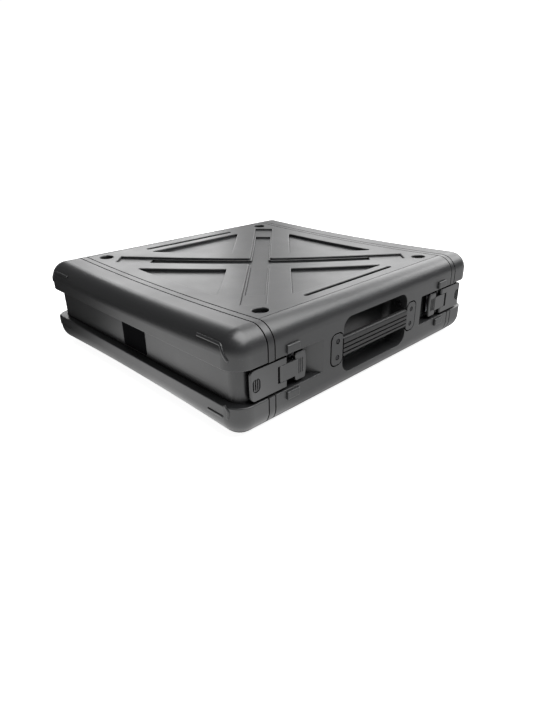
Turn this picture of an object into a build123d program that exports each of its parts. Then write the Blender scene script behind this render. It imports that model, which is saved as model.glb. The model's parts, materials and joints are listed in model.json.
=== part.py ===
"""Rack case, two units high: a moulded body open at both ends, two pull-off lids held by
four draw latches, two side handles and four rack rails.  Millimetres, +Z up, front is -Y."""
from build123d import *

import os
from math import sqrt

os.makedirs("parts", exist_ok=True)

# Overall sizes of the moulded case
case_width = 580.0
case_height = 162.0
case_depth = 630.0
edge_radius = 32.0
lid_edge_step = 1.0
wall = 5.0
lid_wall = 4.0
foot_height = 4.0

# Seams between body, rim and lid, measured along Y from the middle of the case
seam = 241.5
seam_gap = 2.0
rim_width = 13.5

# Shallow dish in the top and bottom faces, deepest in the middle of the body
dish_sag_end = 5.0
dish_sag_middle = 9.0

# Waist: the recessed band round each lid and the latch channels in line with it
waist_half = 28.0
waist_depth = 14.0
waist_radius = 20.0
waist_lip_radius = 2.0
channel_depth = 18.0
channel_length = 83.5
channel_lip_radius = 1.2
ramp_length = 20.0

# Relief of the top panel
arm_width = 41.0
arm_end_gap = 15.5
arm_depth = 4.0
inner_arm_width = 34.0
inner_arm_step = 65.0
inner_arm_depth = 8.0
triangle_apex = 87.0
triangle_margin = 22.0
triangle_depth = 5.5
triangle_radius = 3.0
side_groove_half = 117.0
side_groove_width = 8.5
side_groove_depth = 5.5
relief_radius = 5.0
relief_wall = 4.0
relief_rim_radius = 1.5
inner_rim_radius = 1.0
dimple_inset_x = 60.0
dimple_inset_y = 28.0
dimple_depth = 7.0

# Creases along the side edges of the top
crease_inset = 33.5
crease_width = 1.2
crease_depth = 0.7

# Feet below the dimples
foot_diameter = 24.0
foot_play = 1.0
foot_seat = 2.5
foot_edge_radius = 1.2
seat_clearance = 0.1

# Blocks on the side walls that guard the latches, stepped along Y from the lever pivots
guard_step = 6.5
guard_length = 25.5
guard_gap = 3.0
guard_height = 13.0
guard_proud = 4.0
guard_root = 2.5
guard_radius = 1.8

# Handle wells in the side walls
well_half_length = 90.0
well_half_height = 48.5
well_depth = 45.0
well_radius = 20.0
well_back_radius = 14.0
well_wall = 4.0

# Handles
plate_length = 27.5
plate_start = 1.0
plate_height = 53.0
plate_thick = 2.4
plate_proud = 0.8
plate_radius = 10.0
plate_gap = 2.2
strap_thick = 2.0
strap_height = 26.0
grip_height = 33.0
grip_inner = 10.0
grip_clearance = 0.3
grip_proud = 1.5
grip_top_radius = 4.5
grip_bottom_radius = 3.0
rib_count = 3
top_rib = 10.0
rib_groove = 2.5
rib_groove_depth = 2.4
handle_screw_inset = 13.0
handle_screw_spacing = 28.0
handle_screw_hole = 5.4
handle_screw_shank = 5.2
handle_screw_head = 6.8
handle_screw_well = 9.2
screw_head_sink = 1.8
screw_head_height = 1.5
screw_head_radius = 0.5
screw_stand = 3.0
cross_length = 4.4
cross_width = 1.0
cross_depth = 0.8
strap_end_margin = 5.5
strap_inset = 2.5
plate_edge_radius = 0.8
pad_thick = 4.0
backing_thick = 2.0
backing_leg = 24.0
backing_margin = 4.5
backing_length = 32.0
well_bolt_inset = 17.0
well_bolt_margin = 7.5
well_bolt_head = 9.0
well_bolt_head_height = 3.0
well_bolt_shank = 5.2
nut_radius = 4.6
nut_thick = 4.0

# Draw latches: steps and reaches along Y are measured from the lever's pivot
pivot_setback = 16.0
pivot_pin_stand = 1.3
latch_gap = 4.0
latch_sink = 2.0
link_thick = 4.0
link_reach = 61.5
link_tail = 10.5
link_pin_step = 12.0
link_end_radius = 3.0
link_corner_radius = 8.0
window_half = 13.7
window_reach = 9.0
lip_setback = 7.0
lip_thick = 4.0
lip_reach = 4.0
keeper_gap = 0.4
keeper_inset = 4.0
keeper_width = 4.6
keeper_offset = 1.0
keeper_root = 2.0
roll_radius = 3.2
roll_gap = 0.3
pin_radius = 1.6
pin_clearance = 0.05
pin_chamfer = 0.3
thumb_reach = 51.0
thumb_width = 15.0
thumb_height = 22.0
thumb_depth = 1.4
thumb_rib_pitch = 4.0
thumb_rib_width = 1.2
thumb_rib_height = 16.0
neck_clearance = 0.5
neck_reach = 4.1
neck_thick = 6.0
neck_overlap = 4.0
neck_end_radius = 1.8
knuckle_radius = 4.2
head_step = 28.5
head_length = 23.5
head_inset = 1.0
head_thick = 6.0
head_sink = 0.8
head_corner_radius = 4.0
head_edge_radius = 2.0
head_bulge = 2.2
head_rib_height = 24.0
ear_radius = 3.7
ear_gap = 0.3
ear_thick = 3.5
bracket_plate = 2.0
bracket_margin = 1.8
bracket_reach = 5.5
bracket_length = 45.0
rivet_radius = 2.0
rivet_head_radius = 3.6
rivet_head_height = 1.2
rivet_step = 32.5
rivet_z = 12.0

# Gasket and tongue
tongue_clearance = 0.7
tongue_thick = 2.3
tongue_length = 8.0
gasket_inset = 2.8
gasket_width = 1.8
gasket_depth = 1.5
gasket_gap = 0.3
groove_clearance = 0.1
seam_line_width = 2.2
seam_line_depth = 3.0
lip_length = 6.0
lip_clearance = 0.3

# Rack rails to the common panel standard
unit_height = 44.45
rack_units = 2
rail_opening = 450.0
panel_hole_spacing = 465.1
panel_hole_edge = 6.35
rail_hole_radius = 3.2
rail_thick = 2.0
rail_flange = 18.0
rail_depth = 32.0
rail_setback = 22.0
rail_screw_y = 16.0
rail_screw_spacing = 60.0
rail_screw_hole_radius = 2.6
rail_screw_radius = 2.5
rail_screw_head_radius = 4.4
rail_screw_head_height = 2.4
rail_screw_length = 12.0
boss_plate = 8.0
boss_rib = 4.0
boss_margin = 6.0

# Bare plate on the front lid
label_width = 71.0
label_height = 48.0
label_thick = 0.8
label_x = 6.0
label_radius = 2.0

# Worked out for the case
half_width = case_width / 2
half_depth = case_depth / 2
mid_z = foot_height + case_height / 2
top_z = foot_height + case_height
body_end = seam - seam_gap / 2
rim_start = seam + seam_gap / 2
rim_end = rim_start + rim_width
lid_edge_radius = edge_radius - lid_edge_step
channel_floor = half_width - channel_depth
channel_floor_end = seam - channel_length
channel_ramp_end = channel_floor_end - ramp_length
dimple_x = half_width - dimple_inset_x
dimple_y = body_end - dimple_inset_y
dimple_diameter = foot_diameter + 2 * foot_play
arm_half_length = sqrt(2) * min(dimple_x, dimple_y) - arm_end_gap
triangle_base = dimple_x - triangle_margin
tongue_inset = wall + tongue_clearance
rail_height = rack_units * unit_height

# Worked out for the handles
plate_y = well_half_length + plate_start + plate_length / 2
handle_screw_y = well_half_length + plate_start + handle_screw_inset
seat_depth = plate_thick + strap_thick - plate_proud
strap_x = half_width - seat_depth + strap_thick / 2
strap_end = plate_y + plate_length / 2 - strap_inset
strap_end_height = plate_height - 2 * strap_end_margin
grip_half_length = well_half_length - grip_clearance
backing_half_height = plate_height / 2 + backing_margin
well_bolt_z = backing_half_height - well_bolt_margin

# Worked out for the latch of the front right corner
pivot_y = seam - pivot_setback
latch_half_height = waist_half - latch_gap
link_outer = half_width - latch_sink
link_inner = link_outer - link_thick
link_free_end = pivot_y + link_reach
link_prong_end = pivot_y - link_tail
link_pin_x = channel_floor + bracket_plate + roll_gap + roll_radius
link_pin_y = pivot_y - link_pin_step
lip_start = link_free_end - lip_setback
lip_tip_x = link_inner - lip_reach
keeper_half = latch_half_height - keeper_inset
pivot_x = link_inner - ear_gap - ear_radius
pivot_pin_half = window_half + ear_thick + pivot_pin_stand
thumb_y = pivot_y + thumb_reach
neck_half = window_half - neck_clearance
head_from = pivot_y - head_step
head_to = head_from - head_length
head_y = (head_from + head_to) / 2
head_half = latch_half_height - head_inset
bracket_half_height = window_half + ear_thick + bracket_margin
rivet_y = pivot_y - rivet_step
guard_y = pivot_y - guard_step - guard_length / 2
guard_offset = waist_half + guard_gap + guard_height / 2

# Overshoot of cutting solids, and how near an edge lies to a surface that it is part of
beyond = 20.0
pad_overlap = 1.0
touch = 0.01


def label_and_write(solid, name):
    """Give a finished piece its name and write it."""
    solid.label = name
    export_step(solid, "parts/" + name + ".step")


def section_outline(inset, sag):
    """Outline of the case's section, inset all round: its rounded corners run smoothly into
    long arcs that sag above and below."""
    corner_x = half_width - edge_radius
    corner_z = case_height / 2 - edge_radius
    radius = edge_radius - inset
    reach = (corner_x ** 2 / sag + sag) / 2
    touch_x = corner_x - radius * corner_x / reach
    touch_z = corner_z + radius * (reach - sag) / reach
    slant = radius / sqrt(2)
    middle = case_height / 2 - inset - sag
    with BuildSketch() as outline:
        with BuildLine():
            for up in (1, -1):
                ThreePointArc((-touch_x, up * touch_z), (0, up * middle), (touch_x, up * touch_z))
                for side in (1, -1):
                    ThreePointArc((side * touch_x, up * touch_z),
                                  (side * (corner_x + slant), up * (corner_z + slant)),
                                  (side * (corner_x + radius), up * corner_z))
            for side in (1, -1):
                Line((side * (corner_x + radius), corner_z), (side * (corner_x + radius), -corner_z))
        make_face()
    return outline.sketch


def section_block(inset, start, end):
    """Length of the lid's section, inset all round, between two distances along -Y."""
    outline = section_outline(inset, dish_sag_end)
    with BuildPart() as block:
        with BuildSketch(Plane.XZ.offset(start)):
            with Locations((0, mid_z)):
                add(outline)
        extrude(amount=end - start)
    return block.part


def body_block(inset, half_length):
    """Length of the body's section, inset all round, that sags more towards the middle."""
    stations = ((-seam, dish_sag_end), (0, dish_sag_middle), (seam, dish_sag_end))
    outlines = [(y, section_outline(inset, sag)) for y, sag in stations]
    with BuildPart() as block:
        for y, outline in outlines:
            with BuildSketch(Plane.XZ.offset(y)):
                with Locations((0, mid_z)):
                    add(outline)
        loft()
        with Locations((0, 0, mid_z)):
            Box(case_width, 2 * half_length, case_height, mode=Mode.INTERSECT)
    return block.part


def notch_cutter(inset, depth, start, end):
    """Side notches through the rim and the ends of the body, grown by inset."""
    bottom = half_width - depth - inset
    width = half_width + beyond - bottom
    with BuildPart() as cutter:
        with BuildSketch(Plane.XZ.offset(start)):
            for side in (-1, 1):
                with Locations((side * (bottom + width / 2), mid_z)):
                    Rectangle(width, 2 * (waist_half + inset))
        extrude(amount=end - start)
    return cutter.part


def notched_block(inset, start, end):
    """Length of the section that also follows the side notches."""
    plain = section_block(inset, start, end)
    notches = notch_cutter(inset, channel_depth, start, end)
    with BuildPart() as block:
        add(plain)
        add(notches, mode=Mode.SUBTRACT)
    return block.part


def waist_cutter(inset):
    """Ring that takes the recessed band out of a lid, grown by inset."""
    with BuildPart() as cutter:
        with BuildSketch(Plane.XY.offset(mid_z - waist_half - inset)):
            Rectangle(case_width + 2 * beyond, case_depth + 2 * beyond)
            RectangleRounded(case_width - 2 * (waist_depth + inset),
                             case_depth - 2 * (waist_depth + inset),
                             waist_radius - inset, mode=Mode.SUBTRACT)
        extrude(amount=2 * (waist_half + inset))
    return cutter.part


def edges_within(solid, surfaces):
    """Edges of a solid that lie on one of the surfaces, but not on that surface's border."""
    found = []
    for edge in solid.edges():
        middle = edge.position_at(0.5)
        for surface in surfaces:
            on_border = any(border.distance_to(middle) < touch for border in surface.edges())
            if surface.distance_to(middle) < touch and not on_border:
                found.append(edge)
    return found


def lid_block(inset, open_end):
    """Form of the front lid, inset all round, from its open end to its face, with sharp lips."""
    outline = section_outline(inset, dish_sag_end)
    with BuildPart() as form:
        with BuildSketch(Plane.XZ.offset(open_end)):
            with Locations((0, mid_z)):
                add(outline)
        extrude(amount=half_depth - inset - open_end)
        fillet(form.faces().sort_by(Axis.Y)[0].edges(), lid_edge_radius - inset)
    return form.part


def channel_cutter(inset):
    """Latch channel of the front right corner with its ramp, grown by inset."""
    outside = half_width + beyond
    ramp_outside = channel_ramp_end - beyond * ramp_length / channel_depth
    with BuildPart() as cutter:
        with BuildSketch(Plane.XY.offset(mid_z - waist_half - inset)):
            with BuildLine():
                Polyline((outside, -seam - beyond), (channel_floor, -seam - beyond),
                         (channel_floor, -channel_floor_end), (outside, -ramp_outside),
                         close=True)
            make_face()
            if inset > 0:
                offset(amount=inset, kind=Kind.INTERSECTION)
        extrude(amount=2 * (waist_half + inset))
    return cutter.part


def well_cutter(inset):
    """Handle well of the right side wall, grown by inset."""
    with BuildPart() as cutter:
        with BuildSketch(Plane.YZ.offset(half_width - well_depth - inset)):
            with Locations((0, mid_z)):
                RectangleRounded(2 * (well_half_length + inset), 2 * (well_half_height + inset),
                                 well_radius + inset)
        extrude(amount=well_depth + inset + beyond)
        fillet(cutter.faces().sort_by(Axis.X)[0].edges(), well_back_radius + inset)
    return cutter.part


def four_corners(solid):
    """The solid and its copies in the other three corners of the case."""
    left = mirror(solid, about=Plane.YZ)
    return [solid, left, mirror(solid, about=Plane.XZ), mirror(left, about=Plane.XZ)]


def both_sides(solid):
    """The solid and its copy on the left side."""
    return [solid, mirror(solid, about=Plane.YZ)]


def arms_sketch(width, half_length):
    """Two crossed arms at 45 degrees with rounded inner corners."""
    with BuildSketch() as arms:
        for turn in (45, -45):
            Rectangle(2 * half_length, width, rotation=turn)
        fillet(arms.vertices().sort_by_distance((0, 0, 0))[0:4], relief_radius)
    return arms.sketch


def triangles_sketch():
    """Four right-angled pockets between the arms."""
    with BuildSketch() as triangle:
        with BuildLine():
            rise = triangle_base - triangle_apex
            Polyline((triangle_apex, 0), (triangle_base, rise), (triangle_base, -rise),
                     close=True)
        make_face()
        fillet(triangle.vertices(), triangle_radius)
    with BuildSketch() as four:
        with PolarLocations(0, 4):
            add(triangle.sketch)
    return four.sketch


def grooves_sketch():
    """Long grooves near the side edges of the top."""
    with BuildSketch() as grooves:
        with Locations((-dimple_x, 0), (dimple_x, 0)):
            SlotOverall(2 * side_groove_half, side_groove_width, rotation=90)
    return grooves.sketch


def creases_sketch():
    """Thin lines where the top runs into its rounded side edges."""
    crease_x = half_width - crease_inset
    with BuildSketch() as creases:
        with Locations((-crease_x, 0), (crease_x, 0)):
            Rectangle(crease_width, 2 * seam)
    return creases.sketch


def dimples_sketch():
    """Round seats near the corners of the top, where the feet of a second case stand."""
    with BuildSketch() as dimples:
        with GridLocations(2 * dimple_x, 2 * dimple_y, 2, 2):
            Circle(dimple_diameter / 2)
    return dimples.sketch


def relief_prism(sketch, grow, inset):
    """What lies above the top surface lowered by inset, within the sketch grown by grow."""
    below = body_block(inset, seam)
    with BuildPart() as prism:
        with BuildSketch(Plane.XY.offset(mid_z)):
            add(sketch)
            if grow > 0:
                offset(amount=grow)
        extrude(amount=top_z + beyond - mid_z)
        add(below, mode=Mode.SUBTRACT)
    return prism.part


def rail_boss():
    """Plate on three ribs that carries the front right rack rail."""
    plate_x = rail_opening / 2 + rail_flange
    rail_face = body_end - rail_setback
    with BuildPart() as boss:
        with Locations((plate_x + boss_plate / 2, -rail_face + rail_depth / 2, mid_z)):
            Box(boss_plate, rail_depth, rail_height)
        rib_length = half_width - wall / 2 - plate_x
        for level in (-1, 0, 1):
            height = level * (rail_height / 2 - boss_margin)
            with Locations((plate_x + rib_length / 2, -rail_face + rail_depth / 2,
                            mid_z + height)):
                Box(rib_length, rail_depth, boss_rib)
    return boss.part


def handle_pad():
    """Thickening of the right side wall behind one end plate of the handle."""
    with BuildPart() as pad:
        start = well_half_length + well_wall
        with Locations((half_width - wall - (pad_thick - pad_overlap) / 2,
                        start + backing_length / 2, mid_z)):
            Box(pad_thick + pad_overlap, backing_length, 2 * backing_half_height)
    return pad.part


def plate_outline(grow):
    """Face of one handle end plate, drawn in the side plane and grown all round."""
    with BuildSketch() as outline:
        with Locations((plate_y, mid_z)):
            RectangleRounded(plate_length + 2 * grow, plate_height + 2 * grow,
                             plate_radius + grow)
    return outline.sketch


def handle_screw_places():
    """Two screw places in the plane of one end plate."""
    return [(handle_screw_y, mid_z + side * handle_screw_spacing / 2) for side in (-1, 1)]


def guard_blocks():
    """Raised blocks above and below the front right latch."""
    with BuildPart() as guards:
        for side in (-1, 1):
            with Locations((half_width + (guard_proud - guard_root) / 2,
                            -guard_y, mid_z + side * guard_offset)):
                Box(guard_proud + guard_root, guard_length, guard_height)
        fillet(guards.faces().sort_by(Axis.X)[-1].edges()
               + guards.faces().sort_by(Axis.X)[-2].edges(), guard_radius)
    return guards.part


def handle_cuts():
    """Seat and screw holes of the rear end plate of the right handle, and its two bolt holes."""
    seat = plate_outline(plate_gap)
    with BuildPart() as cuts:
        with BuildSketch(Plane.YZ.offset(half_width - seat_depth)):
            add(seat)
        extrude(amount=beyond)
        with BuildSketch(Plane.YZ.offset(half_width - wall - pad_thick - pad_overlap)):
            with Locations(*handle_screw_places()):
                Circle(handle_screw_hole / 2)
        extrude(amount=beyond)
        with BuildSketch(Plane.XZ.offset(-well_half_length + pad_overlap)):
            with Locations(*well_bolt_places()):
                Circle(handle_screw_hole / 2)
        extrude(amount=-well_wall - 2 * pad_overlap)
    return cuts.part


def foot_seats():
    """Round seats in the bottom face for the four feet."""
    with BuildPart() as seats:
        with BuildSketch(Plane.XY):
            with GridLocations(2 * dimple_x, 2 * dimple_y, 2, 2):
                Circle(foot_diameter / 2 + seat_clearance)
        extrude(amount=foot_height + foot_seat)
    return seats.part


def upper_face(block):
    """The wide upper face of a block with the body's section."""
    return block.faces().sort_by(SortBy.AREA)[-2:].sort_by(Axis.Z)[-1]


def edges_on_outline(solid, surface, sketch):
    """Edges of a solid on a surface that lie above the sketch's outline."""
    found = []
    for edge in solid.edges():
        middle = edge.position_at(0.5)
        if surface.distance_to(middle) < touch:
            below = Vector(middle.X, middle.Y, 0)
            if min(side.distance_to(below) for side in sketch.edges()) < touch:
                found.append(edge)
    return found


def make_body_shell():
    """Moulded tube, open at both ends, with wells, channels and the relief of its top."""
    arms = arms_sketch(arm_width, arm_half_length)
    inner_arms = arms_sketch(inner_arm_width, arm_half_length - inner_arm_step)
    reliefs = [(arms, arm_depth), (triangles_sketch(), triangle_depth),
               (grooves_sketch(), side_groove_depth), (dimples_sketch(), dimple_depth),
               (inner_arms, inner_arm_depth)]
    creases = relief_prism(creases_sketch(), 0, crease_depth)
    kept = [relief_prism(sketch, relief_wall, wall + depth) for sketch, depth in reliefs]
    kept = kept + four_corners(channel_cutter(wall)) + four_corners(rail_boss())
    kept = kept + both_sides(well_cutter(well_wall)) + four_corners(handle_pad())
    inside = body_block(wall, seam)
    with BuildPart() as cavity:
        add(inside)
        add(kept, mode=Mode.SUBTRACT)
    pockets = [relief_prism(sketch, 0, depth) for sketch, depth in reliefs]
    channels = four_corners(channel_cutter(0))
    cuts = [cavity.part, foot_seats(), creases] + both_sides(well_cutter(0))
    cuts = cuts + four_corners(handle_cuts())
    cuts = cuts + four_corners(latch_rivet_holes()) + four_corners(rail_screw_holes())
    outside = body_block(0, body_end)
    sides = [outside.faces().sort_by(Axis.X)[0], outside.faces().sort_by(Axis.X)[-1]]
    top = upper_face(outside)
    arm_floor = upper_face(body_block(arm_depth, body_end))
    guards = four_corners(guard_blocks())
    with BuildPart() as body_shell:
        add(outside)
        add(pockets[:-1], mode=Mode.SUBTRACT)
        fillet(edges_within(body_shell.part, [top]), relief_rim_radius)
        add(pockets[-1], mode=Mode.SUBTRACT)
        fillet(edges_on_outline(body_shell.part, arm_floor, inner_arms), inner_rim_radius)
        add(channels, mode=Mode.SUBTRACT)
        fillet(edges_within(body_shell.part, sides), channel_lip_radius)
        add(guards)
        add(cuts, mode=Mode.SUBTRACT)
    return body_shell.part


def latch_rivet_places():
    """Places of the rivets of the front right latch, in the side plane."""
    return [(-rivet_y, mid_z + side * rivet_z) for side in (-1, 1)]


def latch_rivet_holes():
    """Holes through the channel floor of the front right latch."""
    with BuildPart() as holes:
        with BuildSketch(Plane.YZ.offset(channel_floor - wall - pad_overlap)):
            with Locations(*latch_rivet_places()):
                Circle(rivet_radius + pin_clearance)
        extrude(amount=wall + 2 * pad_overlap)
    return holes.part


def rail_screw_places():
    """Places of the screws of the front right rail, in the side plane."""
    y = -(body_end - rail_setback - rail_screw_y)
    return [(y, mid_z + side * rail_screw_spacing / 2) for side in (-1, 1)]


def rail_screw_holes():
    """Pilot holes in the boss of the front right rail."""
    with BuildPart() as holes:
        with BuildSketch(Plane.YZ.offset(rail_opening / 2 + rail_flange - pad_overlap)):
            with Locations(*rail_screw_places()):
                Circle(rail_screw_hole_radius)
        extrude(amount=rail_screw_length)
    return holes.part


def keeper_ridges():
    """Ridges on both sides of the front lid that the latch links hook round."""
    wall_x = half_width - waist_depth
    top_x = lip_tip_x - keeper_gap
    y = -(lip_start - lip_thick - keeper_offset - keeper_width / 2)
    with BuildPart() as ridges:
        for side in (-1, 1):
            with Locations((side * (wall_x - keeper_root + top_x) / 2, y, mid_z)):
                Box(top_x - wall_x + keeper_root, keeper_width, 2 * keeper_half)
    return ridges.part


def make_lid_shell():
    """Front lid: a shell with a recessed band round it, open towards the body."""
    outside = lid_block(0, rim_end)
    upright = [face for face in outside.faces() if abs(face.center().Z - mid_z) < touch]
    around = ShapeList(upright).sort_by(Axis.Y)[:-1]
    waist = waist_cutter(0)
    inner_waist = waist_cutter(lid_wall)
    with BuildPart() as inside:
        add(lid_block(lid_wall, rim_end - beyond))
        add(inner_waist, mode=Mode.SUBTRACT)
    ridges = keeper_ridges()
    with BuildPart() as lid:
        add(outside)
        add(waist, mode=Mode.SUBTRACT)
        fillet(edges_within(lid.part, around), waist_lip_radius)
        add(inside.part, mode=Mode.SUBTRACT)
        add(ridges)
    return lid.part


def make_lid_rim():
    """Ring between front lid and body, with a tongue for the body's mouth and a gasket groove."""
    line_start = rim_end - seam_line_width
    ring = [notched_block(0, rim_start, line_start),
            notched_block(seam_line_depth, line_start, rim_end),
            notched_block(lid_wall + lip_clearance, rim_end, rim_end + lip_length),
            notched_block(tongue_inset, rim_start - tongue_length, rim_start)]
    opening = notched_block(tongue_inset + tongue_thick, rim_start - beyond, rim_end + beyond)
    groove_core = notched_block(gasket_inset + gasket_width + groove_clearance,
                                rim_start - beyond, rim_start + beyond)
    groove_space = notched_block(gasket_inset - groove_clearance,
                                 rim_start, rim_start + gasket_depth)
    with BuildPart() as groove:
        add(groove_space)
        add(groove_core, mode=Mode.SUBTRACT)
    with BuildPart() as rim:
        add(ring)
        add([groove.part, opening], mode=Mode.SUBTRACT)
    return rim.part


def make_gasket():
    """Rubber ring that fills the gap between rim and body."""
    start = body_end + gasket_gap
    end = rim_start + gasket_depth
    outside = notched_block(gasket_inset, start, end)
    inside = notched_block(gasket_inset + gasket_width, start - beyond, end + beyond)
    with BuildPart() as gasket:
        add(outside)
        add(inside, mode=Mode.SUBTRACT)
    return gasket.part


def make_label_plate():
    """Bare plate on the recessed band of the front lid."""
    with BuildPart() as plate:
        with BuildSketch(Plane.XZ.offset(half_depth - waist_depth)):
            with Locations((label_x, mid_z)):
                RectangleRounded(label_width, label_height, label_radius)
        extrude(amount=label_thick)
    return plate.part


def make_grip():
    """Rubber grip of the right handle, ribbed outside, with a slot for its steel strap."""
    inner_x = half_width - grip_inner
    outer_x = half_width + grip_proud
    with BuildPart() as grip:
        with BuildSketch(Plane.XZ.offset(-grip_half_length)):
            with Locations(((inner_x + outer_x) / 2, mid_z)):
                Rectangle(outer_x - inner_x, grip_height)
            fillet(vertices().sort_by(Axis.Y)[-2:], grip_top_radius)
            fillet(vertices().sort_by(Axis.Y)[0:2], grip_bottom_radius)
            rib = (grip_height - top_rib - rib_count * rib_groove) / rib_count
            for count in range(rib_count):
                z = grip_height / 2 - top_rib - rib_groove / 2 - count * (rib + rib_groove)
                with Locations((outer_x, mid_z + z)):
                    Rectangle(2 * rib_groove_depth, rib_groove, mode=Mode.SUBTRACT)
        extrude(amount=2 * grip_half_length)
        with Locations((strap_x, 0, mid_z)):
            Box(strap_thick, 2 * grip_half_length, strap_height, mode=Mode.SUBTRACT)
    return grip.part


def make_strap():
    """Steel strap inside the right handle, widened at its ends below the end plates."""
    with BuildPart() as strap:
        with Locations((strap_x, 0, mid_z)):
            Box(strap_thick, 2 * strap_end, strap_height)
        end_start = well_half_length + plate_start
        end_length = strap_end - end_start
        for end in (-1, 1):
            with Locations((strap_x, end * (end_start + end_length / 2), mid_z)):
                Box(strap_thick, end_length, strap_end_height)
            with BuildSketch(Plane.YZ.offset(strap_x - strap_thick)):
                with Locations(*[(end * y, z) for y, z in handle_screw_places()]):
                    Circle(handle_screw_hole / 2)
            extrude(amount=2 * strap_thick, mode=Mode.SUBTRACT)
    return strap.part


def make_end_plate():
    """Rounded plate over the rear end of the right handle, with two sunk screw holes."""
    base_x = half_width + plate_proud - plate_thick
    outline = plate_outline(0)
    with BuildPart() as plate:
        with BuildSketch(Plane.YZ.offset(base_x)):
            add(outline)
        extrude(amount=plate_thick)
        fillet(plate.faces().sort_by(Axis.X)[-1].edges(), plate_edge_radius)
        with BuildSketch(Plane.YZ.offset(base_x)):
            with Locations(*handle_screw_places()):
                Circle(handle_screw_hole / 2)
        extrude(amount=plate_thick, mode=Mode.SUBTRACT)
        with BuildSketch(Plane.YZ.offset(half_width + plate_proud - screw_head_sink)):
            with Locations(*handle_screw_places()):
                Circle(handle_screw_well / 2)
        extrude(amount=screw_head_sink, mode=Mode.SUBTRACT)
    return plate.part


def make_handle_screws():
    """Two cross-head screws of the rear end plate of the right handle."""
    seat_x = half_width + plate_proud - screw_head_sink
    inner_x = half_width - wall - pad_thick - backing_thick - screw_stand
    with BuildPart() as screws:
        with BuildSketch(Plane.YZ.offset(inner_x)):
            with Locations(*handle_screw_places()):
                Circle(handle_screw_shank / 2)
        extrude(amount=seat_x - inner_x)
        with BuildSketch(Plane.YZ.offset(seat_x)):
            with Locations(*handle_screw_places()):
                Circle(handle_screw_head / 2)
        extrude(amount=screw_head_height)
        fillet(screws.faces().sort_by(Axis.X)[-2:].edges(), screw_head_radius)
        with BuildSketch(Plane.YZ.offset(seat_x + screw_head_height)):
            with Locations(*handle_screw_places()):
                Rectangle(cross_length, cross_width)
                Rectangle(cross_width, cross_length)
        extrude(amount=-cross_depth, mode=Mode.SUBTRACT)
    return screws.part


def make_backing_bracket():
    """Steel angle inside the case that backs the rear end plate of the right handle."""
    face_x = half_width - wall - pad_thick
    start = well_half_length + well_wall
    height = 2 * backing_half_height
    with BuildPart() as bracket:
        with Locations((face_x - backing_thick / 2, start + backing_length / 2, mid_z)):
            Box(backing_thick, backing_length, height)
        with Locations((face_x - backing_leg / 2, start + backing_thick / 2, mid_z)):
            Box(backing_leg, backing_thick, height)
        with BuildSketch(Plane.YZ.offset(face_x - 2 * backing_thick)):
            with Locations(*handle_screw_places()):
                Circle(handle_screw_hole / 2)
        extrude(amount=3 * backing_thick, mode=Mode.SUBTRACT)
        with BuildSketch(Plane.XZ.offset(-start + backing_thick)):
            with Locations(*well_bolt_places()):
                Circle(handle_screw_hole / 2)
        extrude(amount=-3 * backing_thick, mode=Mode.SUBTRACT)
    return bracket.part


def well_bolt_places():
    """Two bolt places in an end wall of the right handle well."""
    x = half_width - well_bolt_inset
    return [(x, mid_z + side * well_bolt_z) for side in (-1, 1)]


def make_well_bolts():
    """Two bolts and nuts that hold the rear backing bracket to the end wall of the well."""
    wall_y = well_half_length
    nut_y = wall_y + well_wall + backing_thick
    with BuildPart() as bolts:
        with BuildSketch(Plane.XZ.offset(-wall_y)):
            with Locations(*well_bolt_places()):
                Circle(well_bolt_head / 2)
        extrude(amount=well_bolt_head_height)
        fillet(bolts.faces().sort_by(Axis.Y)[0:2].edges(), screw_head_radius)
        with BuildSketch(Plane.XZ.offset(-wall_y)):
            with Locations(*well_bolt_places()):
                Circle(well_bolt_shank / 2)
        extrude(amount=-(nut_y + nut_thick + screw_stand - wall_y))
        with BuildSketch(Plane.XZ.offset(-nut_y)):
            with Locations(*well_bolt_places()):
                RegularPolygon(nut_radius, 6)
        extrude(amount=-nut_thick)
    return bolts.part


def make_latch_link():
    """Long plate of the front right latch, with its hooked free end and two rolled prongs."""
    window_deep = link_outer - link_pin_x + 2 * roll_radius
    window_length = window_reach + link_pin_step + 2 * roll_radius
    with BuildPart() as link:
        with BuildSketch(Plane.XY.offset(mid_z - latch_half_height)):
            with BuildLine():
                Polyline((link_outer, -link_prong_end), (link_outer, -link_free_end),
                         (link_inner, -link_free_end), (link_inner, -lip_start),
                         (lip_tip_x, -lip_start), (lip_tip_x, -lip_start + lip_thick),
                         (link_inner, -lip_start + lip_thick),
                         (link_inner, -link_prong_end - link_thick),
                         (link_pin_x, -link_prong_end - link_thick),
                         (link_pin_x, -link_prong_end), close=True)
            make_face()
            fillet(vertices().sort_by(Axis.X)[-2:], link_end_radius)
            with Locations((link_pin_x, -link_pin_y)):
                Circle(roll_radius)
                Circle(pin_radius + pin_clearance, mode=Mode.SUBTRACT)
        extrude(amount=2 * latch_half_height)
        with BuildSketch(Plane.YZ.offset(link_outer - window_deep)):
            with Locations((-link_free_end / 2, mid_z)):
                RectangleRounded(link_free_end, 2 * latch_half_height, link_corner_radius)
        extrude(amount=window_deep, mode=Mode.INTERSECT)
        with Locations((link_outer - window_deep / 2,
                        -pivot_y - window_reach + window_length / 2, mid_z)):
            Box(window_deep, window_length, 2 * window_half, mode=Mode.SUBTRACT)
        with BuildSketch(Plane.YZ.offset(link_outer - thumb_depth)):
            with Locations((-thumb_y, mid_z)):
                SlotOverall(thumb_height, thumb_width, rotation=90)
            with Locations(*rib_places(thumb_y)):
                SlotOverall(thumb_rib_height, thumb_rib_width, rotation=90, mode=Mode.SUBTRACT)
        extrude(amount=thumb_depth, mode=Mode.SUBTRACT)
    return link.part


def rib_places(y):
    """Three finger ribs side by side about one distance along -Y, in the side plane."""
    return [(-y + step * thumb_rib_pitch, mid_z) for step in (-1, 0, 1)]


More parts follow.
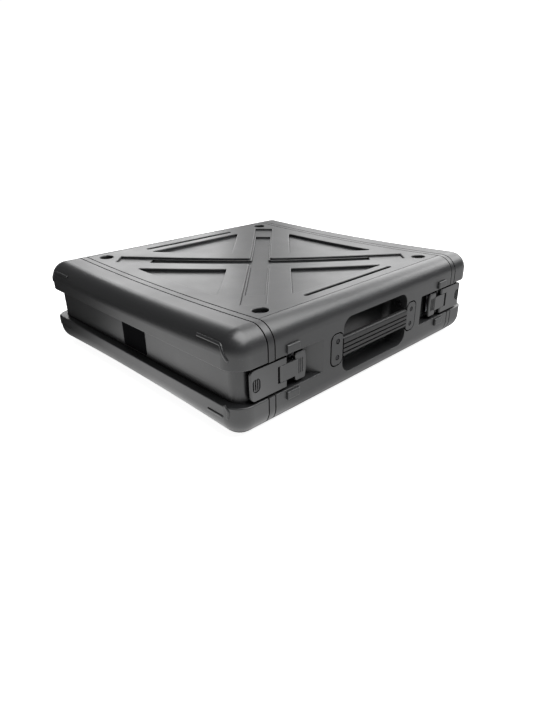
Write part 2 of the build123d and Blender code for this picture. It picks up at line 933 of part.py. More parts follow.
def make_latch_lever():
    """Lever of the front right latch: a neck on two pins and a wide head to pull."""
    neck_inner = link_outer - neck_thick
    neck_start = -head_from + neck_overlap
    neck_end = -pivot_y - neck_reach
    head_shoulder = -head_to - head_bulge
    with BuildPart() as lever:
        with BuildSketch(Plane.XY.offset(mid_z - neck_half)):
            with BuildLine():
                Polyline((link_outer, neck_start), (link_outer, neck_end),
                         (neck_inner, neck_end), (neck_inner, neck_start), close=True)
            make_face()
            fillet(vertices().sort_by(Axis.Y)[0:2], neck_end_radius)
            with Locations((pivot_x, -pivot_y)):
                Circle(knuckle_radius)
            with BuildLine():
                Polyline((link_outer - neck_thick / 2, -pivot_y),
                         (pivot_x, -pivot_y - knuckle_radius / 2),
                         (link_pin_x, -link_pin_y - roll_radius),
                         (link_pin_x, -link_pin_y + roll_radius),
                         (link_outer - neck_thick / 2, -link_pin_y + 2 * roll_radius),
                         close=True)
            make_face()
            with Locations((link_pin_x, -link_pin_y)):
                Circle(roll_radius)
        extrude(amount=2 * neck_half)
        with BuildSketch(Plane.YZ.offset(link_outer - head_thick)):
            with BuildLine():
                Polyline((head_shoulder, mid_z + head_half), (-head_from, mid_z + head_half),
                         (-head_from, mid_z - head_half), (head_shoulder, mid_z - head_half))
                ThreePointArc((head_shoulder, mid_z - head_half), (-head_to, mid_z),
                              (head_shoulder, mid_z + head_half))
            make_face()
            fillet(vertices(), head_corner_radius)
        extrude(amount=head_thick - head_sink)
        free_end = lever.edges().filter_by(GeomType.CIRCLE).sort_by(Axis.Y)[-2:]
        fillet(free_end.sort_by(Axis.X)[-1], head_edge_radius)
        with BuildSketch(Plane.YZ.offset(link_outer - head_sink)):
            with Locations(*rib_places(head_y)):
                SlotOverall(head_rib_height, thumb_rib_width, rotation=90)
        extrude(amount=head_sink)
        with BuildSketch(Plane.XY.offset(mid_z - neck_half)):
            with Locations((pivot_x, -pivot_y), (link_pin_x, -link_pin_y)):
                Circle(pin_radius + pin_clearance)
        extrude(amount=2 * neck_half, mode=Mode.SUBTRACT)
    return lever.part


def make_latch_bracket():
    """Steel bracket of the front right latch: a base plate with two ears."""
    with BuildPart() as bracket:
        with BuildSketch(Plane.YZ.offset(channel_floor)):
            with Locations((-pivot_y - bracket_reach + bracket_length / 2, mid_z)):
                RectangleRounded(bracket_length, 2 * bracket_half_height, ear_radius)
            with Locations(*latch_rivet_places()):
                Circle(rivet_radius + pin_clearance, mode=Mode.SUBTRACT)
        extrude(amount=bracket_plate)
        for side in (-1, 1):
            start = window_half if side > 0 else -window_half - ear_thick
            with BuildSketch(Plane.XY.offset(mid_z + start)):
                with Locations((pivot_x, -pivot_y)):
                    Circle(ear_radius)
                with Locations(((channel_floor + pivot_x) / 2, -pivot_y)):
                    Rectangle(pivot_x - channel_floor, 2 * ear_radius)
                with Locations((pivot_x, -pivot_y)):
                    Circle(pin_radius + pin_clearance, mode=Mode.SUBTRACT)
            extrude(amount=ear_thick)
    return bracket.part


def make_pin(x, y, half_length):
    """Plain steel pin along Z at a place of the front right latch."""
    with BuildPart() as pin:
        with BuildSketch(Plane.XY.offset(mid_z - half_length)):
            with Locations((x, -y)):
                Circle(pin_radius)
        extrude(amount=2 * half_length)
        chamfer(pin.edges(), pin_chamfer)
    return pin.part


def make_latch_rivets():
    """Two rivets that fasten the front right bracket to the channel floor."""
    inner_face = channel_floor - wall
    outer_face = channel_floor + bracket_plate
    with BuildPart() as rivets:
        for start, length, radius in ((inner_face - rivet_head_height, rivet_head_height,
                                       rivet_head_radius),
                                      (inner_face, outer_face - inner_face, rivet_radius),
                                      (outer_face, rivet_head_height, rivet_head_radius)):
            with BuildSketch(Plane.YZ.offset(start)):
                with Locations(*latch_rivet_places()):
                    Circle(radius)
            extrude(amount=length)
    return rivets.part


def panel_hole_heights():
    """Heights of the panel holes from the middle, three to each unit."""
    step = (unit_height - 2 * panel_hole_edge) / 2
    heights = []
    for unit in range(rack_units):
        base = -rail_height / 2 + unit * unit_height + panel_hole_edge
        heights += [base, base + step, base + 2 * step]
    return heights


def make_rack_rail():
    """Front right rack rail: a steel angle with the common row of panel holes."""
    inner_x = rail_opening / 2
    face_y = body_end - rail_setback
    with BuildPart() as rail:
        with BuildSketch(Plane.XY.offset(mid_z - rail_height / 2)):
            with BuildLine():
                Polyline((inner_x, -face_y), (inner_x + rail_flange, -face_y),
                         (inner_x + rail_flange, -face_y + rail_depth),
                         (inner_x + rail_flange - rail_thick, -face_y + rail_depth),
                         (inner_x + rail_flange - rail_thick, -face_y + rail_thick),
                         (inner_x, -face_y + rail_thick), close=True)
            make_face()
        extrude(amount=rail_height)
        with BuildSketch(Plane.XZ.offset(face_y)):
            with Locations(*[(panel_hole_spacing / 2, mid_z + z) for z in panel_hole_heights()]):
                Circle(rail_hole_radius)
        extrude(amount=-rail_thick, mode=Mode.SUBTRACT)
        with BuildSketch(Plane.YZ.offset(inner_x + rail_flange - 2 * rail_thick)):
            with Locations(*rail_screw_places()):
                Circle(rail_screw_hole_radius + seat_clearance)
        extrude(amount=3 * rail_thick, mode=Mode.SUBTRACT)
    return rail.part


def make_rail_screws():
    """Two screws that hold the front right rail to its boss."""
    seat_x = rail_opening / 2 + rail_flange - rail_thick
    with BuildPart() as screws:
        for start, length, radius in ((seat_x - rail_screw_head_height, rail_screw_head_height,
                                       rail_screw_head_radius),
                                      (seat_x, rail_screw_length, rail_screw_radius)):
            with BuildSketch(Plane.YZ.offset(start)):
                with Locations(*rail_screw_places()):
                    Circle(radius)
            extrude(amount=length)
    return screws.part


def make_foot():
    """Rubber foot of the front right corner, seated in the bottom face."""
    with BuildPart() as foot:
        with BuildSketch(Plane.XY):
            with Locations((dimple_x, -dimple_y)):
                Circle(foot_diameter / 2)
        extrude(amount=foot_height + foot_seat)
        fillet(foot.faces().sort_by(Axis.Z)[0].edges(), foot_edge_radius)
    return foot.part


corner_names = ("front_right", "front_left", "rear_right", "rear_left")

label_and_write(make_body_shell(), "body_shell")
for piece, name in ((make_lid_shell(), "lid_shell"), (make_lid_rim(), "lid_rim"),
                    (make_gasket(), "gasket")):
    label_and_write(piece, "front_" + name)
    label_and_write(mirror(piece, about=Plane.XZ), "rear_" + name)
label_and_write(make_label_plate(), "label_plate")

for piece, name in ((make_latch_link(), "latch_link"), (make_latch_lever(), "latch_lever"),
                    (make_latch_bracket(), "latch_bracket"),
                    (make_pin(pivot_x, pivot_y, pivot_pin_half), "latch_pivot_pin"),
                    (make_pin(link_pin_x, link_pin_y, latch_half_height), "latch_link_pin"),
                    (make_rack_rail(), "rack_rail"), (make_foot(), "foot")):
    for corner, solid in zip(corner_names, four_corners(piece)):
        label_and_write(solid, corner + "_" + name)

for piece, name in ((make_end_plate(), "end_plate"), (make_backing_bracket(), "backing_bracket")):
    for corner, solid in zip(corner_names, four_corners(mirror(piece, about=Plane.XZ))):
        label_and_write(solid, corner + "_handle_" + name)

for piece, name in ((make_grip(), "handle_grip"), (make_strap(), "handle_strap")):
    for side, solid in zip(("right", "left"), both_sides(piece)):
        label_and_write(solid, side + "_" + name)

for piece, name in ((make_handle_screws(), "handle_screws"), (make_well_bolts(), "well_bolts")):
    for side, solid in zip(("right", "left"), both_sides(piece)):
        pair = Compound(children=[solid, mirror(solid, about=Plane.XZ)])
        label_and_write(pair, side + "_" + name)

for piece, name in ((make_latch_rivets(), "latch_rivets"), (make_rail_screws(), "rail_screws")):
    label_and_write(Compound(children=four_corners(piece)), name)
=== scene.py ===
"""Looks of the rack case: moulded black plastic, rubber, steel and the raised beads of its lids.
Metres, +Z up, front lid towards -Y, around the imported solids."""
import json
import math

import bpy
import numpy as np
from mathutils import Matrix, Vector


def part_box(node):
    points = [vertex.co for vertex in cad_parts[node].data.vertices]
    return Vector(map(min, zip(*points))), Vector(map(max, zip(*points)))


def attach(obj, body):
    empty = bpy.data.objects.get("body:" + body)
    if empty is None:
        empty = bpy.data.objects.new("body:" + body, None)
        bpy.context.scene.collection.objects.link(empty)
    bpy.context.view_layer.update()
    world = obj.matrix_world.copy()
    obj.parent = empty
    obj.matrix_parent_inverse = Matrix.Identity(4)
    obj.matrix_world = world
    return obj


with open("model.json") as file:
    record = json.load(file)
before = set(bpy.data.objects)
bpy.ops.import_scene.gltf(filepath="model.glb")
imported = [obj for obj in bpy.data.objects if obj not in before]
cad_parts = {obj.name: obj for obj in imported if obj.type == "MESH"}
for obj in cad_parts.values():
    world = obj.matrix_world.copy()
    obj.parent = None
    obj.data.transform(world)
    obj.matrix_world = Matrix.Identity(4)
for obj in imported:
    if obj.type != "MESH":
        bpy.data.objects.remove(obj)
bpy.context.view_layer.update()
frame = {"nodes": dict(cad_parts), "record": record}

mm = 0.001

# Places read from the frame
lid_low, lid_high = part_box("front_lid_shell")
case_top = lid_high.z
case_bottom = lid_low.z
case_middle = (case_top + case_bottom) / 2
half_width = (lid_high.x - lid_low.x) / 2
half_depth = -lid_low.y

# Sizes of the moulding that the solids follow too
edge_radius = 32 * mm
lid_edge_radius = 31 * mm


# Shader helpers

def node(tree, kind, **settings):
    """A shader node of a kind, with plain settings and with input values given by name."""
    made = tree.nodes.new(kind)
    for name, value in settings.items():
        if hasattr(made, name):
            setattr(made, name, value)
        else:
            made.inputs[name.replace("_", " ")].default_value = value
    return made


def link(tree, source, output, target, place):
    """Link one node's output to another node's input."""
    tree.links.new(source.outputs[output], target.inputs[place])


def soft_ramp(tree, start, end, low=0.0, high=1.0):
    """A node that goes smoothly from low at the start value to high at the end value."""
    return node(tree, "ShaderNodeMapRange", interpolation_type="SMOOTHSTEP",
                From_Min=start, From_Max=end, To_Min=low, To_Max=high)


def mixer(tree, kind, first=None, second=None):
    """A node that mixes two numbers or two colours, with those given set on its sockets."""
    made = node(tree, "ShaderNodeMix", data_type=kind)
    for name, value in (("A", first), ("B", second)):
        if value is not None:
            made.inputs[name].default_value = value
    return made


def new_group(name, inputs, outputs):
    """An empty node group with its sockets, and its input and output nodes."""
    group = bpy.data.node_groups.new(name, "ShaderNodeTree")
    for label, kind, value in inputs:
        socket = group.interface.new_socket(name=label, in_out="INPUT", socket_type=kind)
        socket.default_value = value
    for label, kind in outputs:
        group.interface.new_socket(name=label, in_out="OUTPUT", socket_type=kind)
    return group, group.nodes.new("NodeGroupInput"), group.nodes.new("NodeGroupOutput")


def soft_edge_group():
    """Rounds sharp edges in the shading, and gives a mask that is 1 on them."""
    group, given, result = new_group(
        "soft_edge",
        [("Radius", "NodeSocketFloat", 1.2 * mm)],
        [("Normal", "NodeSocketVector"), ("Edge", "NodeSocketFloat")])
    bevel = node(group, "ShaderNodeBevel", samples=6)
    geometry = node(group, "ShaderNodeNewGeometry")
    turn = node(group, "ShaderNodeVectorMath", operation="DOT_PRODUCT")
    reach = node(group, "ShaderNodeMapRange", From_Min=0.995, From_Max=0.80, To_Min=0.0, To_Max=1.0)
    link(group, given, "Radius", bevel, "Radius")
    link(group, bevel, "Normal", turn, 0)
    link(group, geometry, "Normal", turn, 1)
    link(group, turn, "Value", reach, "Value")
    link(group, bevel, "Normal", result, "Normal")
    link(group, reach, "Result", result, "Edge")
    return group


def grain_group():
    """Fine moulded grain, and a slow change of gloss from handling and dust."""
    group, given, result = new_group(
        "moulded_grain",
        [("Grain Scale", "NodeSocketFloat", 900.0)],
        [("Height", "NodeSocketFloat"), ("Smudge", "NodeSocketFloat"),
         ("Dust", "NodeSocketFloat")])
    place = node(group, "ShaderNodeTexCoord")
    fine = node(group, "ShaderNodeTexNoise", Detail=3.0, Roughness=0.6)
    cells = node(group, "ShaderNodeTexVoronoi", feature="F1")
    both = node(group, "ShaderNodeMath", operation="ADD")
    broad = node(group, "ShaderNodeTexNoise", Scale=5.5, Detail=4.0, Roughness=0.62)
    specks = node(group, "ShaderNodeTexNoise", Scale=420.0, Detail=2.0, Roughness=0.7)
    sparse = node(group, "ShaderNodeMapRange", From_Min=0.66, From_Max=0.78)
    for texture in (fine, cells, broad, specks):
        link(group, place, "Object", texture, "Vector")
    link(group, given, "Grain Scale", fine, "Scale")
    link(group, given, "Grain Scale", cells, "Scale")
    link(group, fine, "Fac", both, 0)
    link(group, cells, "Distance", both, 1)
    link(group, specks, "Fac", sparse, "Value")
    link(group, both, "Value", result, "Height")
    link(group, broad, "Fac", result, "Smudge")
    link(group, sparse, "Result", result, "Dust")
    return group


# Reach and strength of the painted shade that blacks out gaps and wells, and the black and dull gloss
# it paints there
gap_reach = 5 * mm
well_reach = 45 * mm
gap_open, gap_shut, gap_darkest = 0.72, 0.40, 1.0
well_open, well_shut, well_darkest = 0.52, 0.22, 0.9
painted_shade_roughness = 0.9
painted_shade_black = (0.003, 0.003, 0.003, 1)
dust_colour = (0.35, 0.34, 0.33, 1)


def painted_shade_group():
    """Painted shade: a mask that is 1 in narrow gaps and grooves and high deep inside wells, the
    darker of a short-range and a long-range ambient occlusion. The finishes paint those places black
    with it, standing in for the shade that falls there."""
    group, given, result = new_group(
        "recess_painted_shade",
        [("Gap", "NodeSocketFloat", gap_reach), ("Well", "NodeSocketFloat", well_reach)],
        [("Mask", "NodeSocketFloat")])
    deeper = node(group, "ShaderNodeMath", operation="MAXIMUM")
    reaches = (("Gap", gap_open, gap_shut, gap_darkest), ("Well", well_open, well_shut, well_darkest))
    for place, (reach, open_at, shut_at, most) in enumerate(reaches):
        open_sky = node(group, "ShaderNodeAmbientOcclusion", samples=8)
        depth = soft_ramp(group, open_at, shut_at, 0.0, most)
        link(group, given, reach, open_sky, "Distance")
        link(group, open_sky, "AO", depth, "Value")
        link(group, depth, "Result", deeper, place)
    link(group, deeper, "Value", result, "Mask")
    return group


soft_edge = soft_edge_group()
moulded_grain = grain_group()
recess_painted_shade = painted_shade_group()


def moulded(name, colour, worn, roughness, grain, grain_depth, radius, dust=0.0, gleam=0.5):
    """Moulded plastic or rubber: grain and smudges, edges with a slightly worn tone, and painted
    shade that fades gaps and wells to a dull black."""
    material = bpy.data.materials.new(name)
    material.use_nodes = True
    tree = material.node_tree
    surface = tree.nodes["Principled BSDF"]
    surface.inputs["Specular IOR Level"].default_value = gleam
    edge = node(tree, "ShaderNodeGroup", node_tree=soft_edge)
    edge.inputs["Radius"].default_value = radius
    skin = node(tree, "ShaderNodeGroup", node_tree=moulded_grain)
    skin.inputs["Grain Scale"].default_value = grain
    bump = node(tree, "ShaderNodeBump", Strength=0.5, Distance=grain_depth)
    wear = mixer(tree, "RGBA", (*colour, 1), (*worn, 1))
    rub = node(tree, "ShaderNodeMath", operation="MULTIPLY")
    gloss = node(tree, "ShaderNodeMapRange", From_Min=0.3, From_Max=0.7,
                 To_Min=roughness - 0.05, To_Max=roughness + 0.06)
    settle = node(tree, "ShaderNodeMath", operation="MULTIPLY")
    settle.inputs[1].default_value = dust
    dusty = mixer(tree, "RGBA", second=dust_colour)
    # Painted shade: through base colour, metallic and roughness, gaps and wells turn a dull black
    # that stands in for the shade falling there
    recess = node(tree, "ShaderNodeGroup", node_tree=recess_painted_shade)
    dull = mixer(tree, "FLOAT", second=painted_shade_roughness)
    dark = mixer(tree, "RGBA", second=painted_shade_black)
    link(tree, edge, "Edge", rub, 0)
    link(tree, skin, "Smudge", rub, 1)
    link(tree, rub, "Value", wear, "Factor")
    link(tree, skin, "Dust", settle, 0)
    link(tree, settle, "Value", dusty, "Factor")
    link(tree, wear, "Result", dusty, "A")
    link(tree, recess, "Mask", dark, "Factor")
    link(tree, dusty, "Result", dark, "A")
    link(tree, dark, "Result", surface, "Base Color")
    link(tree, skin, "Smudge", gloss, "Value")
    link(tree, recess, "Mask", dull, "Factor")
    link(tree, recess, "Mask", surface, "Metallic")
    link(tree, gloss, "Result", dull, "A")
    link(tree, dull, "Result", surface, "Roughness")
    link(tree, skin, "Height", bump, "Height")
    link(tree, edge, "Normal", bump, "Normal")
    link(tree, bump, "Normal", surface, "Normal")
    return material


def metal(name, colour, worn, roughness, brushed, metallic, radius):
    """Steel: fine brushed streaks in the gloss, edges rubbed brighter."""
    material = bpy.data.materials.new(name)
    material.use_nodes = True
    tree = material.node_tree
    surface = tree.nodes["Principled BSDF"]
    surface.inputs["Metallic"].default_value = metallic
    edge = node(tree, "ShaderNodeGroup", node_tree=soft_edge)
    edge.inputs["Radius"].default_value = radius
    place = node(tree, "ShaderNodeTexCoord")
    stretch = node(tree, "ShaderNodeMapping")
    stretch.inputs["Scale"].default_value = brushed
    streaks = node(tree, "ShaderNodeTexNoise", Scale=60.0, Detail=4.0, Roughness=0.6)
    gloss = node(tree, "ShaderNodeMapRange", From_Min=0.3, From_Max=0.7,
                 To_Min=roughness - 0.07, To_Max=roughness + 0.08)
    bump = node(tree, "ShaderNodeBump", Strength=0.25, Distance=0.02 * mm)
    wear = mixer(tree, "RGBA", (*colour, 1), (*worn, 1))
    link(tree, place, "Object", stretch, "Vector")
    link(tree, stretch, "Vector", streaks, "Vector")
    link(tree, streaks, "Fac", gloss, "Value")
    link(tree, gloss, "Result", surface, "Roughness")
    link(tree, streaks, "Fac", bump, "Height")
    link(tree, edge, "Normal", bump, "Normal")
    link(tree, bump, "Normal", surface, "Normal")
    link(tree, edge, "Edge", wear, "Factor")
    link(tree, wear, "Result", surface, "Base Color")
    return material


# Finishes

case_plastic = moulded("case_plastic", (0.020, 0.0205, 0.0215), (0.10, 0.101, 0.104),
                       0.34, 850.0, 0.05 * mm, 1.3 * mm, dust=0.10, gleam=0.75)
rim_plastic = moulded("rim_plastic", (0.018, 0.0185, 0.0195), (0.10, 0.101, 0.104),
                      0.34, 850.0, 0.05 * mm, 0.6 * mm, dust=0.08, gleam=0.75)
latch_plastic = moulded("latch_plastic", (0.032, 0.0325, 0.0335), (0.13, 0.131, 0.134),
                        0.33, 1100.0, 0.03 * mm, 0.8 * mm, dust=0.05, gleam=0.85)
plate_plastic = moulded("handle_end_plastic", (0.020, 0.0205, 0.0215), (0.10, 0.101, 0.104),
                        0.35, 1100.0, 0.03 * mm, 0.7 * mm, gleam=0.7)
grip_rubber = moulded("grip_rubber", (0.016, 0.016, 0.0165), (0.10, 0.10, 0.101),
                      0.40, 1400.0, 0.04 * mm, 0.6 * mm, gleam=0.45)
foot_rubber = moulded("foot_rubber", (0.012, 0.012, 0.012), (0.025, 0.025, 0.025),
                      0.70, 1000.0, 0.06 * mm, 0.8 * mm, dust=0.2)
seal_rubber = moulded("seal_rubber", (0.006, 0.006, 0.006), (0.010, 0.010, 0.010),
                      0.65, 1200.0, 0.04 * mm, 0.3 * mm, gleam=0.3)
bare_plate = moulded("bare_plate", (0.0025, 0.0025, 0.003), (0.006, 0.006, 0.007),
                     0.70, 1500.0, 0.02 * mm, 0.3 * mm, gleam=0.02)
bead_plastic = moulded("bead_plastic", (0.020, 0.0205, 0.0215), (0.05, 0.051, 0.053),
                       0.32, 850.0, 0.03 * mm, 0.2 * mm, gleam=0.75)
bright_steel = metal("zinc_steel", (0.52, 0.53, 0.55), (0.72, 0.73, 0.75),
                     0.34, (1, 1, 14), 1.0, 0.3 * mm)
black_steel = metal("black_coated_steel", (0.025, 0.025, 0.027), (0.11, 0.11, 0.11),
                    0.42, (1, 1, 6), 0.0, 0.3 * mm)
black_screw = metal("black_screw_steel", (0.030, 0.030, 0.032), (0.16, 0.16, 0.17),
                    0.33, (1, 1, 1), 0.6, 0.25 * mm)

finish_of_slot = {
    "shell_plastic": case_plastic, "rim_plastic": rim_plastic, "latch_plastic": latch_plastic,
    "end_plate_plastic": plate_plastic, "grip_rubber": grip_rubber,
    "seal_rubber": seal_rubber, "foot_rubber": foot_rubber, "black_steel": black_steel,
    "bright_steel": bright_steel, "black_screws": black_screw, "plate_black": bare_plate}


def dress_nodes():
    """Give every solid of the frame the finish of its material slot."""
    for part in frame["record"]["subparts"]:
        target = frame["nodes"][part["node"]]
        target.data.materials.clear()
        target.data.materials.append(finish_of_slot[part["material_slot"]])


dress_nodes()


# Raised beads on the corners of the lids

bead_half_width = 2.3 * mm
bead_height = 1.7 * mm
bead_sink = 0.4 * mm


def mesh_piece(name, points, closed_rows, body, material):
    """A smooth mesh piece from a grid of points, rows by columns, that rides on a body."""
    rows, columns = points.shape[:2]
    index = np.arange(rows * columns).reshape(rows, columns)
    if closed_rows:
        index = np.concatenate([index, index[:, :1]], axis=1)
    quads = np.stack([index[:-1, :-1], index[:-1, 1:], index[1:, 1:], index[1:, :-1]], axis=-1)
    faces = [tuple(face) for face in quads.reshape(-1, 4).tolist()]
    mesh = bpy.data.meshes.new(name)
    mesh.from_pydata(points.reshape(-1, 3).tolist(), [], faces)
    mesh.validate()
    mesh.update()
    mesh.shade_smooth()
    piece = bpy.data.objects.new(name, mesh)
    bpy.context.scene.collection.objects.link(piece)
    mesh.materials.append(material)
    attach(piece, body)
    return piece


def lid_face(x, z):
    """Distance along Y of the lid's outer face from the case's middle, at x and height z.
    Inside the rounded outline by d, the face lies back from the flat end by
    r - sqrt(r^2 - (r - d)^2), where r is the radius of the lid's edge."""
    over_x = np.abs(x) - (half_width - edge_radius)
    over_z = np.abs(z - case_middle) - ((case_top - case_bottom) / 2 - edge_radius)
    corner = np.hypot(np.maximum(over_x, 0), np.maximum(over_z, 0))
    inside = edge_radius - np.where(corner > 0, corner, np.maximum(over_x, over_z))
    short = np.clip(lid_edge_radius - inside, 0, lid_edge_radius)
    return half_depth - lid_edge_radius + np.sqrt(lid_edge_radius ** 2 - short ** 2)


def rounded_path(points, radius, step=1.0 * mm):
    """Evenly spaced points along straight runs joined by arcs of one radius."""
    path = [np.array(points[0])]
    for before, here, after in zip(points[:-2], points[1:-1], points[2:]):
        here = np.array(here)
        back = np.array(before) - here
        ahead = np.array(after) - here
        back /= np.linalg.norm(back)
        ahead /= np.linalg.norm(ahead)
        half_turn = math.acos(np.clip(back @ ahead, -1, 1)) / 2
        tangent = radius / math.tan(half_turn)
        bisector = (back + ahead) / np.linalg.norm(back + ahead)
        centre = here + bisector * radius / math.sin(half_turn)
        start = here + back * tangent - centre
        end = here + ahead * tangent - centre
        sweep = math.acos(np.clip(start @ end / radius ** 2, -1, 1))
        turns = np.linspace(0, 1, 12)[:, None]
        blend = (np.sin((1 - turns) * sweep) * start + np.sin(turns * sweep) * end)
        path.extend(centre + blend / math.sin(sweep))
    path.append(np.array(points[-1]))
    path = np.array(path)
    run = np.concatenate([[0], np.cumsum(np.linalg.norm(np.diff(path, axis=0), axis=1))])
    even = np.linspace(0, run[-1], max(8, int(run[-1] / step)))
    return np.stack([np.interp(even, run, path[:, 0]), np.interp(even, run, path[:, 1])], axis=1)


def lid_bead(name, points, radius, side, end):
    """A bead on a lid: a closed low oval profile carried along a path on the lid's face. Across
    it the height is H sin(a) and the offset W cos(a), both drawn in to nothing round each end."""
    path = rounded_path([(side * x * mm, z * mm) for x, z in points], radius * mm)
    along = np.gradient(path, axis=0)
    along /= np.linalg.norm(along, axis=1)[:, None]
    across = np.stack([-along[:, 1], along[:, 0]], axis=1)
    run = np.concatenate([[0], np.cumsum(np.linalg.norm(np.diff(path, axis=0), axis=1))])
    to_end = np.minimum(run, run[-1] - run)
    taper = np.sqrt(np.clip(1 - (1 - np.clip(to_end / bead_half_width, 0.02, 1)) ** 2, 0, 1))
    angles = np.linspace(0, 2 * math.pi, 20, endpoint=False)
    offset = bead_half_width * taper[:, None] * np.cos(angles)[None, :]
    rise = bead_height * taper[:, None] * np.sin(angles)[None, :]
    rise = np.maximum(rise, -bead_sink)
    x = path[:, 0, None] + offset * across[:, 0, None]
    z = path[:, 1, None] + offset * across[:, 1, None]
    small = 0.1 * mm
    slope_x = (lid_face(x + small, z) - lid_face(x - small, z)) / (2 * small)
    slope_z = (lid_face(x, z + small) - lid_face(x, z - small)) / (2 * small)
    length = np.sqrt(1 + slope_x ** 2 + slope_z ** 2)
    face = lid_face(x, z)
    points = np.stack([x - rise * slope_x / length, end * (face + rise / length),
                       z - rise * slope_z / length], axis=-1)
    body = "front_lid" if end < 0 else "rear_lid"
    return mesh_piece(name, points, True, body, bead_plastic)


bead_paths = {
    "upper_bead": ([(204, 149.5), (258, 149.5), (272, 128)], 9),
    "lower_bead": ([(222, 38.5), (258, 38.5)], 9),
    "lower_arc_bead": ([(262, 60), (269, 50), (266, 38)], 8)}
for end, end_name in ((-1, "front"), (1, "rear")):
    for side, side_name in ((1, "right"), (-1, "left")):
        for bead_name, (points, radius) in bead_paths.items():
            lid_bead(f"{end_name}_{side_name}_{bead_name}", points, radius, side, end)


# Floor, lights and camera

floor_reach = 12.0
floor_pale = (0.80, 0.80, 0.80, 1)
floor_glow = 0.93
# Painted light and shadow on the floor for reflections: a glow level for the painted shadow, the
# plain floor and the painted pool of light
floor_painted_shadow = 0.05
floor_plain_glow = 0.8
floor_painted_light = 1.4
line_place = (-0.25, -0.33, 0)
line_forward = (0.403, -0.915, 0)


def floor_painted_glow(tree):
    """Painted glow of the floor as reflections see it: plain on the whole, a painted shadow to the
    left of the case's front, and a painted pool of light in a patch before the case, past a slanting
    line and near the middle."""
    place = node(tree, "ShaderNodeTexCoord")
    from_line = node(tree, "ShaderNodeVectorMath", operation="SUBTRACT")
    from_line.inputs[1].default_value = line_place
    past_line = node(tree, "ShaderNodeVectorMath", operation="DOT_PRODUCT")
    past_line.inputs[1].default_value = line_forward
    from_middle = node(tree, "ShaderNodeVectorMath", operation="LENGTH")
    sides = node(tree, "ShaderNodeSeparateXYZ")
    before = soft_ramp(tree, 0.05, 0.14)
    near = soft_ramp(tree, 0.85, 0.60)
    leftward = soft_ramp(tree, -0.10, -0.35)
    forward = soft_ramp(tree, 0.20, -0.10)
    patch = node(tree, "ShaderNodeMath", operation="MULTIPLY")
    corner = node(tree, "ShaderNodeMath", operation="MULTIPLY")
    plain = mixer(tree, "FLOAT", floor_plain_glow, floor_painted_shadow)
    lit = mixer(tree, "FLOAT", second=floor_painted_light)
    link(tree, place, "Object", from_line, 0)
    link(tree, from_line, "Vector", past_line, 0)
    link(tree, past_line, "Value", before, "Value")
    link(tree, place, "Object", from_middle, 0)
    link(tree, from_middle, "Value", near, "Value")
    link(tree, place, "Object", sides, "Vector")
    link(tree, sides, "X", leftward, "Value")
    link(tree, sides, "Y", forward, "Value")
    for product, first, second in ((patch, before, near), (corner, leftward, forward)):
        link(tree, first, "Result", product, 0)
        link(tree, second, "Result", product, 1)
    link(tree, corner, "Value", plain, "Factor")
    link(tree, plain, "Result", lit, "A")
    link(tree, patch, "Value", lit, "Factor")
    return lit


def make_floor():
    """Plain pale floor, washed out to white for the camera as in a product photograph. Other
    rays meet a black floor that glows with a painted shadow and a painted pool of light instead."""
    mesh = bpy.data.meshes.new("floor")
    corners = [(side * floor_reach, end * floor_reach, 0)
               for side, end in ((-1, -1), (1, -1), (1, 1), (-1, 1))]
    mesh.from_pydata(corners, [], [(0, 1, 2, 3)])
    floor = bpy.data.objects.new("floor", mesh)
    bpy.context.scene.collection.objects.link(floor)
    material = bpy.data.materials.new("floor_white")
    material.use_nodes = True
    tree = material.node_tree
    surface = tree.nodes["Principled BSDF"]
    surface.inputs["Roughness"].default_value = 0.9
    surface.inputs["Specular IOR Level"].default_value = 0.0
    surface.inputs["Emission Color"].default_value = (1, 1, 1, 1)
    seen = node(tree, "ShaderNodeLightPath")
    glow = mixer(tree, "FLOAT", second=floor_glow)
    tone = mixer(tree, "RGBA", (0, 0, 0, 1), floor_pale)
    # For other rays the floor is black and glows with the painted light and shadow pattern
    link(tree, floor_painted_glow(tree), "Result", glow, "A")
    link(tree, seen, "Is Camera Ray", glow, "Factor")
    link(tree, seen, "Is Camera Ray", tone, "Factor")
    link(tree, glow, "Result", surface, "Emission Strength")
    link(tree, tone, "Result", surface, "Base Color")
    mesh.materials.append(material)


def soft_box(name, place, size, radiance, target=(0, 0, 0.1)):
    """Area light of a given radiance that faces a target."""
    lamp = bpy.data.lights.new(name, "AREA")
    lamp.shape = "RECTANGLE"
    lamp.size, lamp.size_y = size
    lamp.energy = radiance * math.pi * size[0] * size[1]
    holder = bpy.data.objects.new(name, lamp)
    bpy.context.scene.collection.objects.link(holder)
    holder.location = place
    aim = Vector(target) - Vector(place)
    holder.rotation_euler = aim.to_track_quat("-Z", "Y").to_euler()


backdrop_way = (-0.62, 0.78, 0.0)
backdrop_bright = 0.62
surroundings_dim = 0.12
backdrop_seen = 1.05


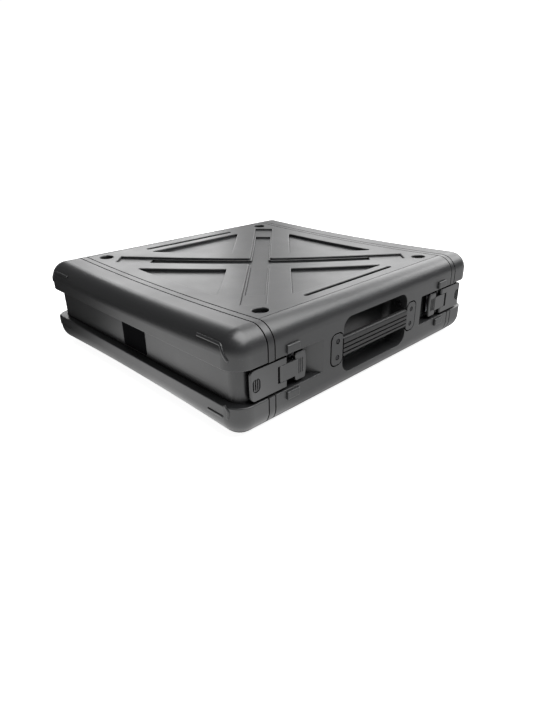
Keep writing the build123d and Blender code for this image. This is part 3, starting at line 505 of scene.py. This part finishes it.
def make_world():
    """Bright surroundings behind the case and dim ones elsewhere. The camera sees plain white."""
    world = bpy.data.worlds.new("studio")
    bpy.context.scene.world = world
    world.use_nodes = True
    tree = world.node_tree
    backdrop = tree.nodes["Background"]
    place = node(tree, "ShaderNodeTexCoord")
    lean = node(tree, "ShaderNodeVectorMath", operation="DOT_PRODUCT")
    lean.inputs[1].default_value = backdrop_way
    fade = soft_ramp(tree, 0.55, 0.95, surroundings_dim, backdrop_bright)
    seen = node(tree, "ShaderNodeLightPath")
    pick = mixer(tree, "FLOAT", second=backdrop_seen)
    link(tree, place, "Generated", lean, 0)
    link(tree, lean, "Value", fade, "Value")
    link(tree, seen, "Is Camera Ray", pick, "Factor")
    link(tree, fade, "Result", pick, "A")
    link(tree, pick, "Result", backdrop, "Strength")
    backdrop.inputs["Color"].default_value = (1, 1, 1, 1)


camera_place = Vector((772.4 * mm, -709.1 * mm, 430.6 * mm))
camera_yaw = math.radians(46.524)
camera_pitch = math.radians(25.267)
camera_roll = -0.019
focal_pixels = 529.5
picture_height = 720
sensor = 36.0


def make_camera():
    """Camera at the photograph's place, with its focal length and slight roll."""
    data = bpy.data.cameras.new("camera")
    data.sensor_fit = "VERTICAL"
    data.sensor_height = sensor
    data.lens = focal_pixels * sensor / picture_height
    data.clip_start = 0.01
    camera = bpy.data.objects.new("camera", data)
    bpy.context.scene.collection.objects.link(camera)
    back = Vector((math.sin(camera_yaw) * math.cos(camera_pitch),
                   -math.cos(camera_yaw) * math.cos(camera_pitch), math.sin(camera_pitch)))
    level = Vector((math.cos(camera_yaw), math.sin(camera_yaw), 0))
    upright = back.cross(level)
    right = math.cos(camera_roll) * level + math.sin(camera_roll) * upright
    up = math.cos(camera_roll) * upright - math.sin(camera_roll) * level
    turn = Matrix((right, up, back)).transposed().to_4x4()
    camera.matrix_world = Matrix.Translation(camera_place) @ turn
    bpy.context.scene.camera = camera


make_floor()
make_world()

# Soft boxes: place and size in metres, and radiance
soft_box("top_soft_box", (0.6, 0.2, 1.5), (1.6, 1.6), 5.0)
soft_box("back_soft_box", (-0.5, 2.3, 1.3), (2.8, 1.2), 2.5)
soft_box("right_soft_box", (0.9, 2.2, 1.4), (1.0, 1.0), 2.2)
soft_box("left_soft_box", (-2.2, 1.0, 1.0), (1.2, 1.0), 2.4)
make_camera()
bpy.context.scene.view_settings.view_transform = "Standard"
